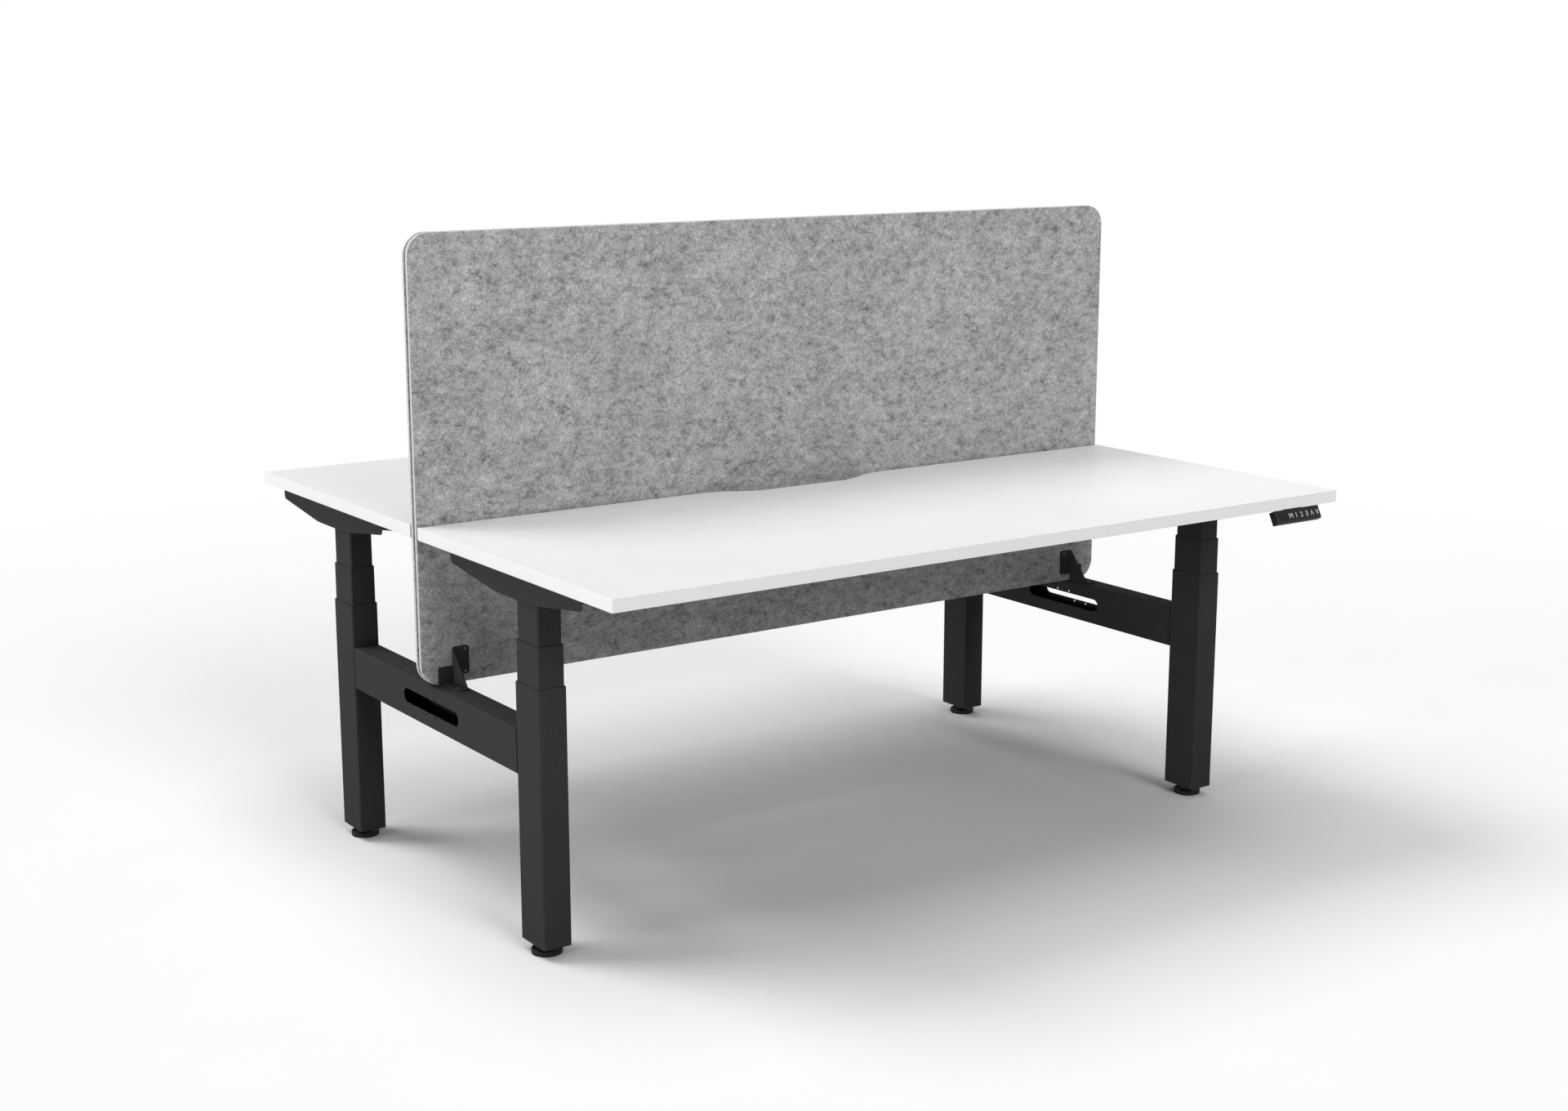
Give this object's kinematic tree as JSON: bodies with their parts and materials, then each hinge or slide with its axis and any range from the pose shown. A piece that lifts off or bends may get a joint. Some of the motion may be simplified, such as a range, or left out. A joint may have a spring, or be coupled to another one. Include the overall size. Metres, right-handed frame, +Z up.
{
  "type": "sit-stand benching desk",
  "caption": "Back-to-back sit-stand bench desk: white tops on black telescoping legs tied by box beams, with a grey felt screen between and a hand control under each top.",
  "frame": {"origin": "on the floor, at the middle of the bench", "axes": "+X along the screen to the right of the front user, +Y from the front desk to the rear desk, +Z up"},
  "size_m": [1.8, 1.551, 1.336],
  "materials": {
    "powder_coat": "fine-textured matt black powder coat",
    "foot_plastic": "moulded, fine grain",
    "motor_case": "satin",
    "zinc_steel": "zinc plated",
    "melamine": "white melamine-faced board with a matching edge band",
    "felt": "pressed marled felt",
    "moulded_black": "fine spark texture",
    "key_black": "satin"
  },
  "bodies": {
    "base": {"outer_tube_front_left": "powder_coat", "outer_tube_front_right": "powder_coat", "outer_tube_rear_left": "powder_coat", "outer_tube_rear_right": "powder_coat", "beam_left": "powder_coat", "beam_right": "powder_coat", "screen_bracket_front_left": "powder_coat", "screen_bracket_front_right": "powder_coat", "screen_bracket_rear_left": "powder_coat", "screen_bracket_rear_right": "powder_coat", "screen_panel_front": "felt", "screen_panel_rear": "felt"},
    "front_desk": {"desktop_front": "melamine", "crossbar_front": "powder_coat", "control_box_front": "moulded_black", "handset_front": "moulded_black", "support_front_left": "powder_coat", "support_front_right": "powder_coat", "inner_tube_front_left": "powder_coat", "inner_tube_front_right": "powder_coat", "gear_motor_front_left": "motor_case", "gear_motor_front_right": "motor_case"},
    "rear_desk": {"desktop_rear": "melamine", "crossbar_rear": "powder_coat", "control_box_rear": "moulded_black", "handset_rear": "moulded_black", "support_rear_left": "powder_coat", "support_rear_right": "powder_coat", "inner_tube_rear_left": "powder_coat", "inner_tube_rear_right": "powder_coat", "gear_motor_rear_left": "motor_case", "gear_motor_rear_right": "motor_case"},
    "middle_stage_front_left": {"middle_tube_front_left": "powder_coat"},
    "drive_shaft_front_left": {"drive_shaft_front_left": "zinc_steel"},
    "drive_tube_front_left": {"drive_tube_front_left": "zinc_steel"},
    "foot_front_left": {"levelling_foot_front_left": "foot_plastic"},
    "middle_stage_front_right": {"middle_tube_front_right": "powder_coat"},
    "drive_shaft_front_right": {"drive_shaft_front_right": "zinc_steel"},
    "drive_tube_front_right": {"drive_tube_front_right": "zinc_steel"},
    "foot_front_right": {"levelling_foot_front_right": "foot_plastic"},
    "middle_stage_rear_left": {"middle_tube_rear_left": "powder_coat"},
    "drive_shaft_rear_left": {"drive_shaft_rear_left": "zinc_steel"},
    "drive_tube_rear_left": {"drive_tube_rear_left": "zinc_steel"},
    "foot_rear_left": {"levelling_foot_rear_left": "foot_plastic"},
    "middle_stage_rear_right": {"middle_tube_rear_right": "powder_coat"},
    "drive_shaft_rear_right": {"drive_shaft_rear_right": "zinc_steel"},
    "drive_tube_rear_right": {"drive_tube_rear_right": "zinc_steel"},
    "foot_rear_right": {"levelling_foot_rear_right": "foot_plastic"},
    "key_memory_front": {"key_memory_front": "key_black"},
    "key_one_front": {"key_one_front": "key_black"},
    "key_two_front": {"key_two_front": "key_black"},
    "key_three_front": {"key_three_front": "key_black"},
    "key_up_front": {"key_up_front": "key_black"},
    "key_down_front": {"key_down_front": "key_black"},
    "key_memory_rear": {"key_memory_rear": "key_black"},
    "key_one_rear": {"key_one_rear": "key_black"},
    "key_two_rear": {"key_two_rear": "key_black"},
    "key_three_rear": {"key_three_rear": "key_black"},
    "key_up_rear": {"key_up_rear": "key_black"},
    "key_down_rear": {"key_down_rear": "key_black"}
  },
  "joints": [
    {"name": "front_desk_lift", "type": "slide", "parent": "base", "child": "front_desk", "axis": [0, 0, 1], "range_m": [-0.133, 0.517]},
    {"name": "rear_desk_lift", "type": "slide", "parent": "base", "child": "rear_desk", "axis": [0, 0, 1], "range_m": [-0.133, 0.517]},
    {"name": "middle_stage_lift_front_left", "type": "slide", "parent": "base", "child": "middle_stage_front_left", "axis": [0, 0, 1], "range_m": [-0.0665, 0.2585]},
    {"name": "drive_shaft_turn_front_left", "type": "hinge", "parent": "front_desk", "child": "drive_shaft_front_left", "pos_m": [-0.848, -0.412, 0.3], "axis": [0, 0, 1], "range_deg": [-2395, 9307]},
    {"name": "drive_tube_turn_front_left", "type": "hinge", "parent": "middle_stage_front_left", "child": "drive_tube_front_left", "pos_m": [-0.848, -0.412, 0.3], "axis": [0, 0, 1], "range_deg": [-2395, 9307]},
    {"name": "middle_stage_lift_front_right", "type": "slide", "parent": "base", "child": "middle_stage_front_right", "axis": [0, 0, 1], "range_m": [-0.0665, 0.2585]},
    {"name": "drive_shaft_turn_front_right", "type": "hinge", "parent": "front_desk", "child": "drive_shaft_front_right", "pos_m": [0.848, -0.412, 0.3], "axis": [0, 0, 1], "range_deg": [-2395, 9307]},
    {"name": "drive_tube_turn_front_right", "type": "hinge", "parent": "middle_stage_front_right", "child": "drive_tube_front_right", "pos_m": [0.848, -0.412, 0.3], "axis": [0, 0, 1], "range_deg": [-2395, 9307]},
    {"name": "middle_stage_lift_rear_left", "type": "slide", "parent": "base", "child": "middle_stage_rear_left", "axis": [0, 0, 1], "range_m": [-0.0665, 0.2585]},
    {"name": "drive_shaft_turn_rear_left", "type": "hinge", "parent": "rear_desk", "child": "drive_shaft_rear_left", "pos_m": [-0.848, 0.412, 0.3], "axis": [0, 0, 1], "range_deg": [-2395, 9307]},
    {"name": "drive_tube_turn_rear_left", "type": "hinge", "parent": "middle_stage_rear_left", "child": "drive_tube_rear_left", "pos_m": [-0.848, 0.412, 0.3], "axis": [0, 0, 1], "range_deg": [-2395, 9307]},
    {"name": "middle_stage_lift_rear_right", "type": "slide", "parent": "base", "child": "middle_stage_rear_right", "axis": [0, 0, 1], "range_m": [-0.0665, 0.2585]},
    {"name": "drive_shaft_turn_rear_right", "type": "hinge", "parent": "rear_desk", "child": "drive_shaft_rear_right", "pos_m": [0.848, 0.412, 0.3], "axis": [0, 0, 1], "range_deg": [-2395, 9307]},
    {"name": "drive_tube_turn_rear_right", "type": "hinge", "parent": "middle_stage_rear_right", "child": "drive_tube_rear_right", "pos_m": [0.848, 0.412, 0.3], "axis": [0, 0, 1], "range_deg": [-2395, 9307]},
    {"name": "foot_level_front_left", "type": "slide", "parent": "base", "child": "foot_front_left", "axis": [0, 0, -1], "range_m": [0, 0.012]},
    {"name": "foot_level_front_right", "type": "slide", "parent": "base", "child": "foot_front_right", "axis": [0, 0, -1], "range_m": [0, 0.012]},
    {"name": "foot_level_rear_left", "type": "slide", "parent": "base", "child": "foot_rear_left", "axis": [0, 0, -1], "range_m": [0, 0.012]},
    {"name": "foot_level_rear_right", "type": "slide", "parent": "base", "child": "foot_rear_right", "axis": [0, 0, -1], "range_m": [0, 0.012]},
    {"name": "key_memory_press_front", "type": "slide", "parent": "front_desk", "child": "key_memory_front", "axis": [0, 0.891, -0.454], "range_m": [0, 0.0008], "stiffness_N_per_m": 1000, "springref_m": -0.0006},
    {"name": "key_one_press_front", "type": "slide", "parent": "front_desk", "child": "key_one_front", "axis": [0, 0.891, -0.454], "range_m": [0, 0.0008], "stiffness_N_per_m": 1000, "springref_m": -0.0006},
    {"name": "key_two_press_front", "type": "slide", "parent": "front_desk", "child": "key_two_front", "axis": [0, 0.891, -0.454], "range_m": [0, 0.0008], "stiffness_N_per_m": 1000, "springref_m": -0.0006},
    {"name": "key_three_press_front", "type": "slide", "parent": "front_desk", "child": "key_three_front", "axis": [0, 0.891, -0.454], "range_m": [0, 0.0008], "stiffness_N_per_m": 1000, "springref_m": -0.0006},
    {"name": "key_up_press_front", "type": "slide", "parent": "front_desk", "child": "key_up_front", "axis": [0, 0.891, -0.454], "range_m": [0, 0.0008], "stiffness_N_per_m": 1000, "springref_m": -0.0006},
    {"name": "key_down_press_front", "type": "slide", "parent": "front_desk", "child": "key_down_front", "axis": [0, 0.891, -0.454], "range_m": [0, 0.0008], "stiffness_N_per_m": 1000, "springref_m": -0.0006},
    {"name": "key_memory_press_rear", "type": "slide", "parent": "rear_desk", "child": "key_memory_rear", "axis": [0, -0.891, -0.454], "range_m": [0, 0.0008], "stiffness_N_per_m": 1000, "springref_m": -0.0006},
    {"name": "key_one_press_rear", "type": "slide", "parent": "rear_desk", "child": "key_one_rear", "axis": [0, -0.891, -0.454], "range_m": [0, 0.0008], "stiffness_N_per_m": 1000, "springref_m": -0.0006},
    {"name": "key_two_press_rear", "type": "slide", "parent": "rear_desk", "child": "key_two_rear", "axis": [0, -0.891, -0.454], "range_m": [0, 0.0008], "stiffness_N_per_m": 1000, "springref_m": -0.0006},
    {"name": "key_three_press_rear", "type": "slide", "parent": "rear_desk", "child": "key_three_rear", "axis": [0, -0.891, -0.454], "range_m": [0, 0.0008], "stiffness_N_per_m": 1000, "springref_m": -0.0006},
    {"name": "key_up_press_rear", "type": "slide", "parent": "rear_desk", "child": "key_up_rear", "axis": [0, -0.891, -0.454], "range_m": [0, 0.0008], "stiffness_N_per_m": 1000, "springref_m": -0.0006},
    {"name": "key_down_press_rear", "type": "slide", "parent": "rear_desk", "child": "key_down_rear", "axis": [0, -0.891, -0.454], "range_m": [0, 0.0008], "stiffness_N_per_m": 1000, "springref_m": -0.0006}
  ],
  "couplings": [
    {"joint": "middle_stage_lift_front_left", "follows": "front_desk_lift", "ratio": 0.5},
    {"joint": "drive_shaft_turn_front_left", "follows": "front_desk_lift", "rad_per_m": 314.16},
    {"joint": "drive_tube_turn_front_left", "follows": "front_desk_lift", "rad_per_m": 314.16},
    {"joint": "middle_stage_lift_front_right", "follows": "front_desk_lift", "ratio": 0.5},
    {"joint": "drive_shaft_turn_front_right", "follows": "front_desk_lift", "rad_per_m": 314.16},
    {"joint": "drive_tube_turn_front_right", "follows": "front_desk_lift", "rad_per_m": 314.16},
    {"joint": "middle_stage_lift_rear_left", "follows": "rear_desk_lift", "ratio": 0.5},
    {"joint": "drive_shaft_turn_rear_left", "follows": "rear_desk_lift", "rad_per_m": 314.16},
    {"joint": "drive_tube_turn_rear_left", "follows": "rear_desk_lift", "rad_per_m": 314.16},
    {"joint": "middle_stage_lift_rear_right", "follows": "rear_desk_lift", "ratio": 0.5},
    {"joint": "drive_shaft_turn_rear_right", "follows": "rear_desk_lift", "rad_per_m": 314.16},
    {"joint": "drive_tube_turn_rear_right", "follows": "rear_desk_lift", "rad_per_m": 314.16}
  ]
}
